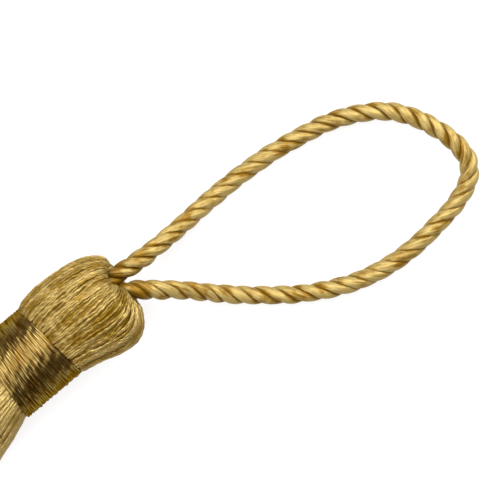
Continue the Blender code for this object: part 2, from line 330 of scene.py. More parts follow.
# The skirt's yarns, by layers: how many, and at what share of the way out.
OUTER_YARN = YarnKind(width=0.00048, stray=0.016, sides=6, near_rings=36, far_rings=54)
OUTER_LAYERS = ((156, 0.985), (140, 0.925))
FILLING_YARN = YarnKind(width=0.00074, stray=0.04, sides=5, near_rings=12, far_rings=28)
FILLING_LAYERS = (
    (104, 0.86),
    (84, 0.765),
    (66, 0.66),
    (50, 0.55),
    (36, 0.44),
    (24, 0.32),
    (12, 0.19),
    (4, 0.06),
)
# Distances from the neck: where the yarns start, where their rings lie farther apart, where they are
# spaced evenly, and where they are fully spread.
YARNS_START = -0.0025
NEAR_RINGS_END = 0.009
EVEN_AT = 0.016
SPREAD_FULL = 0.030
# How uneven the cut ends are, and how much shorter the innermost yarns.
ENDS_UNEVEN = 0.0028
ENDS_SHORTER = 0.0006
# How the yarns wander round the skirt and in and out, at the neck and how much more where they are spread.
YARN_STRAY = 0.3
SWING_NEAR = 0.012
SWING_SPREAD = 0.035
SWING_WAVE = 0.034
KINK_SPREAD = 0.010
KINK_WAVE = 0.009
LOOSE_NEAR = 0.012
LOOSE_SPREAD = 0.030
LOOSE_WAVE = 0.026
LOOSE_INWARD = 0.35
REACH_LIMITS = (0.02, 0.99)
# How they swell there, and how their plies show near the neck.
YARN_SWELL = 0.22
YARN_RADIUS_DRIFT = (0.08, 0.008)
YARN_LOBES = 0.10
LOBES_END = 0.012
LOBES_FADE = 0.004
# Each yarn has a tone of its own, and the outer ones carry painted shade on their inner sides and flanks.
OUTER_TONES = (0.2, 3.4)
SUNKEN_SHADE = 2.2
FILLING_TONES = (0, 0.8)
# The ring by whose height the outer yarns are parted into an upper and a lower piece.
PARTING_RING = 40

# The finishes. Colours count from DEEP_AT to BRIGHT_AT of the mixed tones.
CORD_FINISH = Satin(
    deep=(0.160, 0.080, 0.002),
    bright=(0.310, 0.229, 0.076),
    sheen=(0.84, 0.68, 0.38),
    roughness=0.46,
    metallic=0.40,
    plies=0.0,
    filaments=15.0,
    pace=0.40,
    fuzz=5.0,
    streaky=2.0,
    toned=1.25,
    patchy=2.6,
)
YARN_FINISH = Satin(
    deep=(0.142, 0.078, 0.002),
    bright=(0.322, 0.233, 0.076),
    sheen=(0.92, 0.76, 0.44),
    roughness=0.38,
    metallic=0.50,
    plies=0.5,
    filaments=10.0,
    pace=0.8,
    fuzz=0.9,
    streaky=1.0,
    toned=0.60,
    patchy=1.4,
)
THREAD_FINISH = Satin(
    deep=(0.088, 0.034, 0.000),
    bright=(0.314, 0.238, 0.081),
    sheen=(0.59, 0.46, 0.20),
    roughness=0.34,
    metallic=1.0,
    plies=0.0,
    filaments=4.0,
    pace=0.22,
    fuzz=0.6,
    streaky=1.0,
    toned=0.4,
    patchy=0.8,
)
SPECULAR = 0.6
NOISE_DETAIL = 2.0
PATCH_SCALE = 420.0
DEEP_AT = 0.18
BRIGHT_AT = 0.82
BUMP_DISTANCE = 0.00004

# The floor is pale and glows, so that it stays white under the dim lights.
FLOOR_SIZE = 3.0
FLOOR_TONE = 0.20
FLOOR_GLOW = 0.80
FLOOR_ROUGHNESS = 0.9
FLOOR_SPECULAR = 0.1

# The soft lights: the way to each from the tassel, its size and its power.
LIGHT_DISTANCE = 0.65
LIGHTS = {
    "key": ((0.10, 0.36, 0.90), 0.70, 5.8),
    "accent": ((0.12, 0.52, 0.84), 0.30, 1.5),
    "back": ((0.85, 0.16, 0.51), 0.46, 5.2),
    "front": ((-0.70, -0.18, 0.66), 0.42, 2.8),
}
ROOM_COLOUR = (1.0, 0.62, 0.24, 1)
ROOM_STRENGTH = 0.14
BACKDROP_COLOUR = (1, 1, 1, 1)


def blend(start, end, share):
    """The way from start to end, by a share of it."""
    return start + (end - start) * share


def unit(vectors):
    """The vectors' directions, each of length one."""
    return vectors / np.linalg.norm(vectors, axis=-1, keepdims=True)


def head_edge_x(y, z):
    """Where the binding ends towards the head."""
    return HEAD_EDGE_X - EDGE_SLANT * (y - AXIS_Y) + EDGE_LEAN * (z - AXIS_Z)


def skirt_edge_x(y, z):
    """Where the binding ends towards the skirt."""
    return SKIRT_EDGE_X + EDGE_SLANT * (y - AXIS_Y) + EDGE_LEAN * (z - AXIS_Z)


def make_camera():
    """The camera that takes the picture's view."""
    down = Vector((-math.sin(CAMERA_TILT), 0, -math.cos(CAMERA_TILT)))
    along = Vector((math.cos(CAMERA_TILT), 0, -math.sin(CAMERA_TILT)))
    across = Vector((0, 1, 0))
    right = along * math.cos(CAMERA_ROLL) - across * math.sin(CAMERA_ROLL)
    up = along * math.sin(CAMERA_ROLL) + across * math.cos(CAMERA_ROLL)
    data = bpy.data.cameras.new("camera")
    data.sensor_width = SENSOR_WIDTH
    data.lens = SENSOR_WIDTH * CAMERA_DISTANCE / VIEW_WIDTH
    data.clip_start = CAMERA_CLIP
    camera = bpy.data.objects.new("camera", data)
    bpy.context.scene.collection.objects.link(camera)
    turned = Matrix((right, up, -down)).transposed().to_4x4()
    turned.translation = CAMERA_AIM - down * CAMERA_DISTANCE
    camera.matrix_world = turned
    bpy.context.scene.camera = camera


def curve_through(points, level):
    """Catmull-Rom through the rows of points, at fractional row numbers."""
    padded = np.concatenate([2 * points[:1] - points[1:2], points, 2 * points[-1:] - points[-2:-1]])
    row = np.clip(np.floor(level).astype(int), 0, len(points) - 2)
    share = (level - row)[..., None]
    before, start, end, after = padded[row], padded[row + 1], padded[row + 2], padded[row + 3]
    return (
        start
        + 0.5 * share * (end - before)
        + share**2 * (before - 2.5 * start + 2 * end - 0.5 * after)
        + 0.5 * share**3 * (3 * (start - end) + after - before)
    )


def lengths_along(points):
    """How far along its line each point is."""
    steps = np.linalg.norm(np.diff(points, axis=-2), axis=-1)
    start = np.zeros((*steps.shape[:-1], 1))
    return np.concatenate([start, np.cumsum(steps, axis=-1)], axis=-1)


def drift(chance, run, wavelength):
    """A smooth random curve from about -1 to 1 for each row of run."""
    value = np.zeros_like(run)
    for share, weight in DRIFT_WAVES:
        phase = chance.uniform(0, TURN, (len(run), 1))
        stretch = chance.uniform(*DRIFT_STRETCH, (len(run), 1))
        value += weight * np.sin(TURN * run * stretch / (wavelength * share) + phase)
    return value


def sized_drift(chance, run, size_and_wave):
    """A drift of a given size and wavelength."""
    size, wavelength = size_and_wave
    return size * drift(chance, run, wavelength)


def joined_tubes(name, skin, run, tone, material, start_turn=0.0, fibre_turns=0.0):
    """One mesh of closed tubes.

    skin holds each tube's rings of points, run its length so far, and tone a number for each tube or each
    point, deep at 0 and bright at 1. The UV map goes once round the tube, from start_turn, and along it in
    millimetres; fibre_turns is how often it goes round on each millimetre, as twisted fibres do.
    """
    tubes, rings, sides, _ = skin.shape
    side = np.arange(sides)
    turned = (side + 1) % sides
    first = np.arange(tubes)[:, None, None] * rings * sides + np.arange(rings - 1)[:, None] * sides
    quads = np.stack([first + side, first + turned, first + turned + sides, first + side + sides], axis=-1)
    start_caps = np.arange(tubes)[:, None] * rings * sides + side[::-1]
    end_caps = np.arange(tubes)[:, None] * rings * sides + (rings - 1) * sides + side
    corners = np.concatenate([quads.ravel(), start_caps.ravel(), end_caps.ravel()])
    sizes = np.concatenate([np.full(quads.size // 4, 4), np.full(2 * tubes, sides)])

    started = np.broadcast_to(np.reshape(start_turn, (-1, 1, 1, 1)), (tubes, 1, 1, 1))
    around = np.stack([side, side + 1, side + 1, side], axis=-1) / sides
    around = started + np.broadcast_to(around, quads.shape)
    near, far = run[:, :-1, None], run[:, 1:, None]
    along = np.stack(np.broadcast_arrays(near, near, far, far), axis=-1) / MM
    along = np.broadcast_to(along, quads.shape)
    around = around + fibre_turns * along
    cap_run = np.stack([run[:, 0], run[:, -1]], axis=0)[:, :, None] / MM
    cap_around = np.stack([side[::-1], side], axis=0)[:, None, :] / sides + started[None, :, 0, 0]
    cap_run, cap_around = np.broadcast_arrays(cap_run, cap_around)
    around = np.concatenate([around.ravel(), cap_around.ravel()])
    along = np.concatenate([along.ravel(), cap_run.ravel()])
    places = np.stack([around, along], axis=-1)

    mesh = bpy.data.meshes.new(name)
    mesh.vertices.add(skin.size // 3)
    mesh.vertices.foreach_set("co", skin.astype(np.float32).ravel())
    mesh.loops.add(len(corners))
    mesh.loops.foreach_set("vertex_index", corners.astype(np.int32))
    mesh.polygons.add(len(sizes))
    mesh.polygons.foreach_set("loop_start", (np.cumsum(sizes) - sizes).astype(np.int32))
    mesh.update(calc_edges=True)
    mesh.uv_layers.new(name="along").uv.foreach_set("vector", places.astype(np.float32).ravel())
    toned = mesh.attributes.new("tone", "FLOAT", "POINT")
    toned.data.foreach_set("value", np.broadcast_to(tone, skin.shape[:-1]).astype(np.float32).ravel())
    mesh.validate()
    return finished(mesh, material)


def finished(mesh, material):
    """The smooth piece that a mesh makes, with its material."""
    mesh.shade_smooth()
    mesh.materials.append(material)
    piece = bpy.data.objects.new(mesh.name, mesh)
    bpy.context.scene.collection.objects.link(piece)
    return piece


def from_bmesh(name, bm, material):
    """The piece that a bmesh makes."""
    mesh = bpy.data.meshes.new(name)
    bm.to_mesh(mesh)
    bm.free()
    return finished(mesh, material)


def plied_skin(middle, outward, radius, run, sides, lobes, start_turn=0.0, flat=1.0):
    """The skin of two-ply yarns: an oval that turns left-handed along each middle line, above the floor.

    flat is the yarn's height from the surface that it lies on, as a share of its width.
    """
    forward = unit(np.gradient(middle, axis=1))
    across = unit(np.cross(outward, forward))
    up = np.cross(forward, across)
    angle = TURN * np.arange(sides) / sides
    turned = angle + TURN * (run / PLY_PITCH + start_turn)[..., None]
    reach = radius[..., None] * (1 + lobes * np.cos(2 * turned))
    skin = (
        middle[:, :, None, :]
        + across[:, :, None, :] * (reach * np.cos(angle))[..., None]
        + up[:, :, None, :] * (flat * reach * np.sin(angle))[..., None]
    )
    skin[..., 2] = np.maximum(skin[..., 2], FLOOR_GAP)
    return skin


def add_nodes(owner):
    """A function that adds a node to the owner's tree, with its settings and its inputs' values or links."""
    tree = owner.node_tree

    def add(kind, inputs=(), **settings):
        node = tree.nodes.new(kind)
        for key, value in settings.items():
            setattr(node, key, value)
        for socket, value in dict(inputs).items():
            if isinstance(value, bpy.types.NodeSocket):
                tree.links.new(value, node.inputs[socket])
            else:
                node.inputs[socket].default_value = value
        return node

    return add


def satin(name, finish):
    """A material whose colour wanders between two golds, with the plies and fine filaments raised."""
    material = bpy.data.materials.new(name)
    material.use_nodes = True
    shader = material.node_tree.nodes["Principled BSDF"]
    add = add_nodes(material)
    link = material.node_tree.links.new
    shader.inputs["Roughness"].default_value = finish.roughness
    shader.inputs["Metallic"].default_value = finish.metallic
    shader.inputs["Specular IOR Level"].default_value = SPECULAR
    shader.inputs["Specular Tint"].default_value = (*finish.sheen, 1)

    def counted(value, weight):
        """A value that counts from its middle, 0.5, up and down."""
        inputs = {0: value, 1: weight, 2: -weight / 2}
        return add("ShaderNodeMath", inputs, operation="MULTIPLY_ADD").outputs[0]

    place = add("ShaderNodeUVMap", uv_map="along")
    parts = add("ShaderNodeSeparateXYZ", {"Vector": place.outputs["UV"]})
    tone = add("ShaderNodeAttribute", attribute_name="tone")
    around, run = parts.outputs["X"], parts.outputs["Y"]
    streak_across = add("ShaderNodeMath", {0: around, 1: finish.filaments}, operation="MULTIPLY")
    streak_along = add("ShaderNodeMath", {0: run, 1: finish.pace}, operation="MULTIPLY")
    streak_place = {"X": streak_across.outputs[0], "Y": streak_along.outputs[0]}
    streak_place = add("ShaderNodeCombineXYZ", streak_place)
    streaks = {"Vector": streak_place.outputs[0], "Scale": 1.0, "Detail": NOISE_DETAIL}
    streaks = add("ShaderNodeTexNoise", streaks).outputs["Fac"]
    where = add("ShaderNodeTexCoord")
    patches = {"Vector": where.outputs["Object"], "Scale": PATCH_SCALE, "Detail": NOISE_DETAIL}
    patches = add("ShaderNodeTexNoise", patches).outputs["Fac"]

    toned = {0: tone.outputs["Fac"], 1: finish.toned, 2: 0.5 - finish.toned / 2}
    mixed = add("ShaderNodeMath", toned, operation="MULTIPLY_ADD").outputs[0]
    for value in (counted(streaks, finish.streaky), counted(patches, finish.patchy)):
        mixed = add("ShaderNodeMath", {0: mixed, 1: value}, operation="ADD").outputs[0]
    ramp = add("ShaderNodeValToRGB", {"Fac": mixed})
    deep, bright = ramp.color_ramp.elements
    deep.position, deep.color = DEEP_AT, (*finish.deep, 1)
    bright.position, bright.color = BRIGHT_AT, (*finish.bright, 1)
    link(ramp.outputs["Color"], shader.inputs["Base Color"])

    height = add("ShaderNodeMath", {0: streaks, 1: finish.fuzz}, operation="MULTIPLY").outputs[0]
    if finish.plies:
        turns = add("ShaderNodeMath", {0: run, 1: MM / PLY_PITCH}, operation="MULTIPLY")
        turned = add("ShaderNodeMath", {0: around, 1: turns.outputs[0]}, operation="ADD")
        phase = add("ShaderNodeMath", {0: turned.outputs[0], 1: 2 * TURN}, operation="MULTIPLY")
        lobes = add("ShaderNodeMath", {0: phase.outputs[0]}, operation="COSINE")
        raised = add("ShaderNodeMath", {0: lobes.outputs[0], 1: finish.plies}, operation="MULTIPLY")
        height = add("ShaderNodeMath", {0: raised.outputs[0], 1: height}, operation="ADD").outputs[0]
    bump = add("ShaderNodeBump", {"Height": height, "Strength": 1.0, "Distance": BUMP_DISTANCE})
    link(bump.outputs["Normal"], shader.inputs["Normal"])
    return material


def smooth_route(route, step):
    """Points an even step apart on a smooth curve through the route, and how far along it each one is."""
    points = np.array(route)
    dense = curve_through(points, np.linspace(0, len(points) - 1, ROUTE_SAMPLES * len(points)))
    run = lengths_along(dense)
    even = np.linspace(0, run[-1], round(run[-1] / step) + 1)
    return np.stack([np.interp(even, run, dense[:, axis]) for axis in range(3)], axis=1), even


def carried_frames(line):
    """Two directions square to the line, carried along it without a twist."""
    forward = unit(np.gradient(line, axis=0))
    side = np.zeros_like(line)
    side[0] = unit(np.cross(forward[0], (0, 0, 1)))
    for i in range(1, len(line)):
        carried = side[i - 1] - forward[i] * (side[i - 1] @ forward[i])
        side[i] = carried / np.linalg.norm(carried)
    return side, np.cross(forward, side)


def bends(line):
    """How sharply the cord's line bends at each point, in radians to the metre, evened out along it."""
    turning = np.linalg.norm(np.gradient(unit(np.gradient(line, axis=0)), axis=0), axis=1) / CORD_STEP
    window = np.hanning(BEND_POINTS)
    return np.convolve(turning, window / window.sum(), mode="same")


def cord_tone(skin, line, from_root, loose):
    """The cord's tone: painted shade deep in its grooves and at its roots, bright on its strands' crests, and
    painted light on the sides of its loose stretches.
    """
    cord_radius = CORD_DIAMETER / 2
    from_middle = np.linalg.norm(skin - line[:, None, :], axis=-1)
    groove = GROOVE_SHADE_REACH + LOOSE_GROOVE_SHADE * loose[..., None]
    crest = np.clip((from_middle - groove) / (cord_radius - groove), 0, 1)
    rise = (skin[..., 2] - line[:, None, 2]) / cord_radius
    # Painted light on the loose stretches' sides, and painted shade near the roots.
    lift = LOOSE_SIDE_LIGHT * loose[..., None] * np.clip(1 - rise / LOOSE_SIDE, 0, 1)
    shade = ROOT_SHADE * np.clip((ROOT_SHADE_END - from_root) / ROOT_SHADE_FADE, 0, 1)
    return CREST_TONE * (crest + lift * (1 - crest)) - shade[..., None]


def loop_cord(material):
    """The hanging loop: three soft strands laid up right-handed. Also its middle line and its length."""
    line, run = smooth_route(LOOP_ROUTE, CORD_STEP)
    side, other = carried_frames(line)
    chance = np.random.default_rng(CORD_SEED)
    strands = np.arange(CORD_STRANDS)[:, None]
    bend = bends(line)
    run = np.broadcast_to(run, (CORD_STRANDS, len(run)))
    uneven = sized_drift(chance, run[:1], CORD_LAY_DRIFT) + TURN * BEND_TWIST * CORD_STEP * np.cumsum(bend)
    lay = TURN * (run / CORD_LAY_LENGTH + strands / CORD_STRANDS) + uneven
    lay = lay + sized_drift(chance, run, STRAND_LAY_DRIFT)
    from_root = np.minimum(run, run[:, -1:] - run)
    root_swell = ROOT_SWELL * np.exp(-(((from_root - ROOT_SWELL_AT) / ROOT_SWELL_REACH) ** 2))
    swell = BEND_SWELL * bend + root_swell
    outward = np.cos(lay)[..., None] * side + np.sin(lay)[..., None] * other
    apart = STRAND_MIDDLE * (1 + swell + sized_drift(chance, run, STRAND_MIDDLE_DRIFT))
    middle = line + outward * apart[..., None]
    forward = unit(np.gradient(middle, axis=1))
    across = unit(np.cross(outward, forward))
    up = np.cross(forward, across)
    angle = TURN * np.arange(STRAND_SIDES) / STRAND_SIDES
    own_turn = run / FIBRE_PITCH + sized_drift(chance, run, FIBRE_TURN_DRIFT)
    ridge = np.cos(STRAND_RIDGES * (angle + TURN * own_turn[..., None]))
    swollen = STRAND_SWELL * swell + sized_drift(chance, run, STRAND_SIZE_DRIFT)
    fullness = 1 + swollen[..., None] + RIDGE_HEIGHT * ridge
    loose = sum(np.exp(-(((run - at) / reach) ** 4)) for at, reach in LOOSE_STRETCHES)
    wide = STRAND_WIDE * (1 + LOOSE_WIDTH * loose)[..., None]
    skin = (
        middle[:, :, None, :]
        + across[:, :, None, :] * (wide * fullness * np.cos(angle))[..., None]
        + up[:, :, None, :] * (STRAND_DEEP * fullness * np.sin(angle))[..., None]
    )
    skin[..., 2] = np.maximum(skin[..., 2], FLOOR_GAP)
    tone = cord_tone(skin, line, from_root, loose)
    start_turn = START_TURNS * strands / CORD_STRANDS
    piece = joined_tubes("loop_cord", skin, run, tone, material, start_turn, MM / FIBRE_PITCH)
    return piece, line, run[0, -1]


def head_surface(angle, level):
    """The head's outside at angles round the axis and fractional section numbers."""
    rings = curve_through(HEAD_RINGS, level)
    from_neck, plus, minus, rise, fall = np.moveaxis(rings, -1, 0)
    cy, cz = np.cos(angle), np.sin(angle)
    y = AXIS_Y + cy * np.where(cy > 0, plus, minus)
    z = np.maximum(AXIS_Z + cz * np.where(cz > 0, rise, fall), 0.0)
    opened = np.clip((level - NOTCH_STARTS) / (NOTCH_FULL - NOTCH_STARTS), 0, 1) ** 1.5
    opened = opened * np.clip(cz, 0, 1)
    y = y + GATHER * opened * (HOLLOW_Y - y) * np.exp(-(((y - HOLLOW_Y) / GATHER_WIDE) ** 2))
    share = np.clip(from_neck / HEAD_LENGTH, 0, 1)
    edge_slant = head_edge_x(y, z) - HEAD_EDGE_X
    x = HEAD_EDGE_X + from_neck + blend(edge_slant, TOP_SLANT * (y - AXIS_Y), share)
    x = x - NOTCH_DEEP * opened * np.exp(-(((y - HOLLOW_Y) / NOTCH_WIDE) ** 2))
    return np.stack([x, y, z], axis=-1)


def head_outward(angle, level):
    """The direction square to the head's outside."""
    small = 0.01
    round_it = head_surface(angle + small, level) - head_surface(angle - small, level)
    along_it = head_surface(angle, level + small) - head_surface(angle, level - small)
    return unit(np.cross(round_it, along_it))


def even_levels(angle, count):
    """Section numbers that step evenly along the head's outside, for each angle."""
    dense = np.linspace(0, len(HEAD_RINGS) - 1, HEAD_SAMPLES)
    run = lengths_along(head_surface(angle[:, None], dense[None, :]))
    return np.stack([np.interp(np.linspace(0, one[-1], count), one, dense) for one in run])


def crease_depth(chance, angle, run):
    """How near, from 0 to 1, each point is to a crease between groups of yarn."""
    depth = np.zeros_like(angle)
    for _ in range(CREASES):
        middle = chance.normal(CREASE_ANGLE, CREASE_SPREAD)
        slant = chance.uniform(-CREASE_SLANT, CREASE_SLANT)
        start, reach = chance.uniform(*CREASE_STARTS), chance.uniform(*CREASE_REACHES)
        away = (angle - middle - slant * (run - start) + math.pi) % TURN - math.pi
        near = np.exp(-((away / CREASE_WIDTH) ** 2))
        window = np.exp(-(((run - start - reach / 2) / (reach / 2)) ** 4))
        depth = np.maximum(depth, near * window * chance.uniform(*CREASE_STRENGTHS))
    return depth


def in_halves(name, rise, skin, run, tone, material, start_turn):
    """The tubes in two pieces, those that rise higher and those lower."""
    pieces = []
    for half, chosen in (("_upper", rise > np.median(rise)), ("_lower", rise <= np.median(rise))):
        parts = skin[chosen], run[chosen], tone[chosen], material, start_turn[chosen]
        pieces.append(joined_tubes(name + half, *parts))
    return pieces


def head_yarns(material):
    """The skein's yarn folded over the loop: it runs up the head and down into the hollow."""
    chance = np.random.default_rng(HEAD_SEED)
    strays = chance.uniform(-HEAD_YARN_STRAY, HEAD_YARN_STRAY, HEAD_YARNS)
    angle = TURN * (np.arange(HEAD_YARNS) + strays) / HEAD_YARNS
    level = even_levels(angle, HEAD_YARN_RINGS)
    run = lengths_along(head_surface(angle[:, None], level))
    wander = sized_drift(chance, run, HEAD_TURN_DRIFT) + sized_drift(chance, run, HEAD_KINK_DRIFT)
    turned = angle[:, None] + wander
    crease = crease_depth(chance, turned, run)
    outward = head_outward(turned, level)
    inward = np.clip((level - HOLLOW_STARTS) / (HOLLOW_FULL - HOLLOW_STARTS), 0, 1)
    swollen = 1 + sized_drift(chance, run, HEAD_RADIUS_DRIFT)
    radius = HEAD_YARN_RADIUS * (1 - HOLLOW_THINNING * inward) * swollen
    lift = sized_drift(chance, run, HEAD_LIFT_DRIFT) + HEAD_LIFT * chance.uniform(-1, 1, (HEAD_YARNS, 1))
    drop = HOLLOW_DROP * inward * chance.uniform(0, 1, (HEAD_YARNS, 1))
    lift = lift - CREASE_DEPTH * crease - drop
    middle = head_surface(turned, level) + outward * (lift - radius)[..., None]
    middle[..., 2] = np.maximum(middle[..., 2], HEAD_YARN_RADIUS)
    start_turn = chance.uniform(0, START_TURNS, (HEAD_YARNS, 1))
    full = radius * HEAD_YARN_FULLNESS
    shape = HEAD_YARN_SIDES, HEAD_YARN_LOBES, start_turn, HEAD_YARN_FLAT
    skin = plied_skin(middle, outward, full, run, *shape)
    # Painted shade: the tone is darker in the creases.
    tone = chance.uniform(0, 1, (HEAD_YARNS, 1, 1)) - CREASE_SHADE * crease[..., None]
    return in_halves("head_yarns", np.sin(angle), skin, run, tone, material, start_turn)


def skein_core(material):
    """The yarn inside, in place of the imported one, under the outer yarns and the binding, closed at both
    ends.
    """
    angle = TURN * (0.25 + np.arange(CORE_SEGMENTS) / CORE_SEGMENTS)
    radius = np.array([[CORE_END_RADIUS], [CORE_RADIUS]])
    y, z = AXIS_Y + radius * np.cos(angle), AXIS_Z + radius * np.sin(angle)
    under_binding = np.stack([skirt_edge_x(y, z) + CORE_END_STEP * np.array([[-0.5], [0.5]]), y, z], axis=-1)
    place = angle[None, :], np.linspace(0, len(HEAD_RINGS) - 1, CORE_LEVELS)[:, None]
    in_head = head_surface(*place) - CORE_INSET * head_outward(*place)
    in_head[..., 2] = np.maximum(in_head[..., 2], CORE_INSET)
    rings = np.concatenate([under_binding, in_head])
    side = np.arange(CORE_SEGMENTS)
    turned = (side + 1) % CORE_SEGMENTS
    first = CORE_SEGMENTS * np.arange(len(rings) - 1)[:, None]
    walls = [first + turned, first + CORE_SEGMENTS + turned, first + CORE_SEGMENTS + side, first + side]
    walls = np.stack(walls, axis=-1).reshape(-1, 4).tolist()
    last = CORE_SEGMENTS * (len(rings) - 1)
    caps = [(-side % CORE_SEGMENTS).tolist(), (last + turned).tolist()]
    mesh = bpy.data.meshes.new("skein_core")
    mesh.from_pydata(rings.reshape(-1, 3).tolist(), [], walls + caps)
    return finished(mesh, material)


def disc_to_square(cy, cz):
    """A point of the unit disc, moved to the square from -1 to 1 that the skirt's sections spread."""
    root_two = 2 * math.sqrt(2)
    wide = 2 + cy**2 - cz**2
    high = 2 - cy**2 + cz**2

    def side_share(reach, lean):
        right = np.sqrt(np.maximum(reach + root_two * lean, 0))
        left = np.sqrt(np.maximum(reach - root_two * lean, 0))
        return np.clip(0.5 * (right - left), -1, 1)

    return side_share(wide, cy), side_share(high, cz)


def skirt_place(reach, angle, from_neck):
    """A place in the skirt, by its share of the way out, its angle and its distance from the neck."""
    cy, cz = reach * np.cos(angle), reach * np.sin(angle)
    u, v = disc_to_square(cy, cz)
    level = np.interp(from_neck / MM, SKIRT_SECTIONS[:, 0], np.arange(len(SKIRT_SECTIONS)))
    _, half_width, bottom, top, slumped = np.moveaxis(curve_through(SKIRT_SECTIONS, level), -1, 0)
    height = (v + 1) / 2
    low_u = u * (1 - MOUND_TAPER * height**2)
    low_v = 2 * height * np.sqrt(1 - MOUND_CROWN * u**2) - 1
    share = np.clip(from_neck / SKIRT_LENGTH, 0, 1)
    sway = SKIRT_SWAY * share * np.sin(TURN * SKIRT_SWAY_TURNS * share + SKIRT_SWAY_LAG * u)
    y = AXIS_Y + half_width * MM * blend(cy, low_u, slumped) + sway
    z = blend(bottom, top, (blend(cz, low_v, slumped) + 1) / 2) * MM
    z = z + sway * SKIRT_SWAY_RISE * height * share
    x = SKIRT_EDGE_X - from_neck + (skirt_edge_x(y, z) - SKIRT_EDGE_X) * (1 - share)
    return np.stack(np.broadcast_arrays(x, y, z), axis=-1)


def skirt_outward(reach, angle, from_neck):
    """The direction out of the skirt, square to the layer that a place is in."""
    small, step = 0.01, 0.0002
    before, after = skirt_place(reach, angle - small, from_neck), skirt_place(reach, angle + small, from_neck)
    nearer, farther = skirt_place(reach, angle, from_neck - step), skirt_place(reach, angle, from_neck + step)
    return unit(np.cross(farther - nearer, after - before))


def even_angles(count, reach):
    """Angles that space a layer of yarns evenly round the skirt at the distance EVEN_AT from the neck."""
    dense = np.linspace(-math.pi, math.pi, SKIRT_SAMPLES)
    run = lengths_along(skirt_place(np.full_like(dense, reach), dense, np.full_like(dense, EVEN_AT)))
    return np.interp((np.arange(count) + 0.5) / count * run[-1], run, dense)


def skirt_layer(chance, count, reach, kind):
    """One layer of the skirt's yarns: their skins, lengths and starting turns."""
    angle = even_angles(count, reach) + chance.uniform(-YARN_STRAY, YARN_STRAY, count) * TURN / count
    near = np.linspace(YARNS_START, NEAR_RINGS_END, kind.near_rings, endpoint=False)
    ends = SKIRT_LENGTH - chance.uniform(0, ENDS_UNEVEN, count) - ENDS_SHORTER * (1 - reach)
    far = NEAR_RINGS_END + (ends[:, None] - NEAR_RINGS_END) * np.linspace(0, 1, kind.far_rings)
    from_neck = np.concatenate([np.broadcast_to(near, (count, kind.near_rings)), far], axis=1)
    spread = np.clip(from_neck / SPREAD_FULL, 0, 1)
    swing = (SWING_NEAR + SWING_SPREAD * spread) * drift(chance, from_neck, SWING_WAVE)
    kink = KINK_SPREAD * spread * drift(chance, from_neck, KINK_WAVE)
    turned = angle[:, None] + swing + kink
    loosened = reach + kind.stray * chance.uniform(-1, 1, (count, 1))
    in_and_out = drift(chance, from_neck, LOOSE_WAVE) - LOOSE_INWARD
    loosened = loosened + (LOOSE_NEAR + LOOSE_SPREAD * spread) * in_and_out
    loosened = np.clip(loosened, *REACH_LIMITS)
    middle = skirt_place(loosened, turned, from_neck)
    swollen = 1 + sized_drift(chance, from_neck, YARN_RADIUS_DRIFT)
    radius = kind.width / 2 * (1 + YARN_SWELL * spread) * swollen
    middle[..., 2] = np.maximum(middle[..., 2], radius)
    run = lengths_along(middle)
    lobes = YARN_LOBES * np.clip((LOBES_END - from_neck) / LOBES_FADE, 0, 1)[..., None]
    outward = skirt_outward(loosened, turned, from_neck)
    start_turn = chance.uniform(0, START_TURNS, (count, 1))
    return plied_skin(middle, outward, radius, run, kind.sides, lobes, start_turn), run, start_turn


def skirt_layers(chance, layers, kind):
    """Several layers of the skirt's yarns as one."""
    made = [skirt_layer(chance, count, reach, kind) for count, reach in layers]
    return [np.concatenate(parts) for parts in zip(*made)]


def skirt_yarns(material):
    """The skirt: two outer layers of yarn, parted into an upper and a lower piece, and the filling."""
    chance = np.random.default_rng(SKIRT_SEED)
    skin, run, start_turn = skirt_layers(chance, OUTER_LAYERS, OUTER_YARN)
    angle = TURN * np.arange(OUTER_YARN.sides) / OUTER_YARN.sides
    # Painted shade on each outer yarn's inner side and flanks, facing into the skirt.
    painted_inner_shade = np.clip(0.5 - np.sin(angle), 0, 1)
    tone = chance.uniform(*OUTER_TONES, (len(skin), 1, 1)) - SUNKEN_SHADE * painted_inner_shade
    rise = skin[:, PARTING_RING, :, 2].mean(axis=-1)
    pieces = in_halves("skirt_yarns", rise, skin, run, tone, material, start_turn)
    skin, run, start_turn = skirt_layers(chance, FILLING_LAYERS, FILLING_YARN)
    tone = chance.uniform(*FILLING_TONES, (len(skin), 1, 1))
    pieces.append(joined_tubes("skirt_filling", skin, run, tone, material, start_turn))
    return pieces


def ripple(chance, along, around):
    """A smooth random surface from about -1 to 1 over lengths along and turns round the neck."""
    value = 0.0
    for _ in range(RIPPLES):
        pace = TURN * chance.uniform(*RIPPLE_STRETCH) / RIPPLE_ALONG
        swirl = chance.integers(-RIPPLE_MOST_TURNS, RIPPLE_MOST_TURNS + 1)
        swirl = swirl + chance.integers(0, 2) * round(TURN * WRAP_RADIUS / RIPPLE_AROUND)
        value = value + np.sin(along * pace + around * swirl + chance.uniform(0, TURN)) / RIPPLES**0.5
    return value


def wound_thread(chance, start, end, radius, lift, stray):
    """The middle line of a thread wound round the neck, from one share of the binding to another."""
    count = THREAD_TURNS * THREAD_POINTS
    turned = np.linspace(0, THREAD_TURNS * TURN, count)
    run = (turned * WRAP_RADIUS)[None, :]
    share = np.linspace(start, end, count) + stray * drift(chance, run, THREAD_STRAY_WAVE)[0]
    share = np.clip(share, *THREAD_ENDS)
    bumpy = RIPPLE_HEIGHT * ripple(np.random.default_rng(RIPPLE_SEED), share * WRAP_LENGTH, turned)
    reach = radius + bumpy + lift * drift(chance, run, THREAD_LIFT_WAVE)[0]
    edge = 1 - np.clip(np.minimum(share, 1 - share) / WRAP_EDGE_SHARE, 0, 1)
    reach = reach - WRAP_EDGE_DROP * edge**2
    y, z = AXIS_Y + reach * np.cos(turned), AXIS_Z + reach * np.sin(turned)
    x = blend(skirt_edge_x(y, z), head_edge_x(y, z), share)
    middle = np.stack([x, y, z], axis=-1)
    outward = np.stack([np.zeros(count), np.cos(turned), np.sin(turned)], axis=-1)
    return middle[None], outward[None]


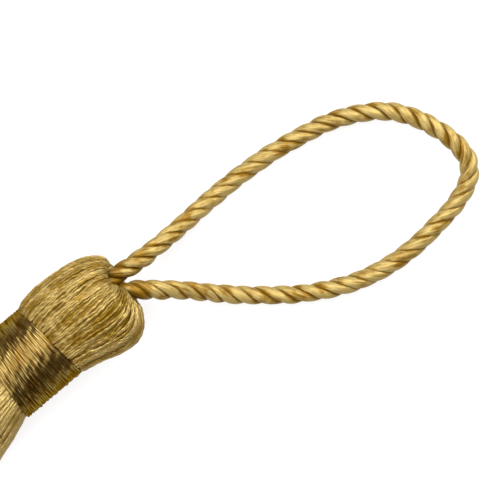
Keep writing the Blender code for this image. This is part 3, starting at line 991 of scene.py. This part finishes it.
def neck_threads(material):
    """The binding: fine satin thread wound on close, then back over itself."""
    chance = np.random.default_rng(THREAD_SEED)
    start, end = THREAD_ENDS
    angle = TURN * np.arange(THREAD_SIDES) / THREAD_SIDES
    painted_meeting_shade = np.abs(np.cos(angle)) > MEETING_COSINE
    pieces = []
    for name, (depth, lift, stray) in THREAD_LAYERS.items():
        radius = WRAP_RADIUS - depth * THREAD_RADIUS
        middle, outward = wound_thread(chance, start, end, radius, lift, stray)
        run = lengths_along(middle)
        thick = THREAD_RADIUS * (1 + sized_drift(chance, run, THREAD_RADIUS_DRIFT))
        skin = plied_skin(middle, outward, thick, run, THREAD_SIDES, 0.0, flat=THREAD_FLAT)
        tone = THREAD_MIDDLE_TONE + sized_drift(chance, run, THREAD_TONE_DRIFT)
        # Painted shade on the flanks where neighbouring turns meet.
        tone = tone[..., None] - MEETING_SHADE * painted_meeting_shade
        pieces.append(joined_tubes(name, skin, run, tone, material))
        start, end = end, start
    return pieces


def pale_floor():
    """The floor that the tassel lies on."""
    bm = bmesh.new()
    bmesh.ops.create_grid(bm, x_segments=1, y_segments=1, size=FLOOR_SIZE / 2)
    material = bpy.data.materials.new("pale_floor")
    material.use_nodes = True
    shader = material.node_tree.nodes["Principled BSDF"]
    shader.inputs["Base Color"].default_value = (FLOOR_TONE, FLOOR_TONE, FLOOR_TONE, 1)
    shader.inputs["Roughness"].default_value = FLOOR_ROUGHNESS
    shader.inputs["Specular IOR Level"].default_value = FLOOR_SPECULAR
    shader.inputs["Emission Color"].default_value = (1, 1, 1, 1)
    shader.inputs["Emission Strength"].default_value = FLOOR_GLOW
    return from_bmesh("floor", bm, material)


def soft_light(name, way, size, power):
    """A round light, LIGHT_DISTANCE from the tassel on the given way, that faces it."""
    data = bpy.data.lights.new(name, "AREA")
    data.shape = "DISK"
    data.size = size
    data.energy = power
    light = bpy.data.objects.new(name, data)
    bpy.context.scene.collection.objects.link(light)
    light.location = CAMERA_AIM + LIGHT_DISTANCE * Vector(way).normalized()
    light.rotation_mode = "QUATERNION"
    light.rotation_quaternion = (CAMERA_AIM - light.location).to_track_quat("-Z", "Y")


def studio():
    """Soft lights in a dim warm room: two above, to +Y, one beyond the loop and one beyond the skirt."""
    for name, (way, size, power) in LIGHTS.items():
        soft_light(name, way, size, power)
    world = bpy.data.worlds.new("room")
    world.use_nodes = True
    room = world.node_tree.nodes["Background"]
    room.inputs["Color"].default_value = ROOM_COLOUR
    room.inputs["Strength"].default_value = ROOM_STRENGTH
    # The yarn mirrors the dim room, and behind the tassel stands a white backdrop.
    add = add_nodes(world)
    backdrop = add("ShaderNodeBackground", {"Color": BACKDROP_COLOUR})
    seen = add("ShaderNodeLightPath").outputs["Is Camera Ray"]
    shown = add("ShaderNodeMixShader", {0: seen, 1: room.outputs[0], 2: backdrop.outputs[0]})
    world.node_tree.links.new(shown.outputs[0], world.node_tree.nodes["World Output"].inputs["Surface"])
    bpy.context.scene.world = world
    bpy.context.scene.view_settings.view_transform = "Standard"


make_camera()
studio()

cord, cord_line, cord_length = loop_cord(satin("cord_satin", CORD_FINISH))
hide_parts("hanging_loop")

yarn_satin = satin("yarn_satin", YARN_FINISH)
yarn_pieces = [skein_core(yarn_satin), *head_yarns(yarn_satin), *skirt_yarns(yarn_satin)]
for piece in yarn_pieces:
    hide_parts("yarn_bundle")
thread_pieces = neck_threads(satin("thread_satin", THREAD_FINISH))
for piece in thread_pieces:
    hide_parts("neck_wrap")
for piece in [cord, *yarn_pieces, *thread_pieces]:
    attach(piece, "root")

pale_floor()
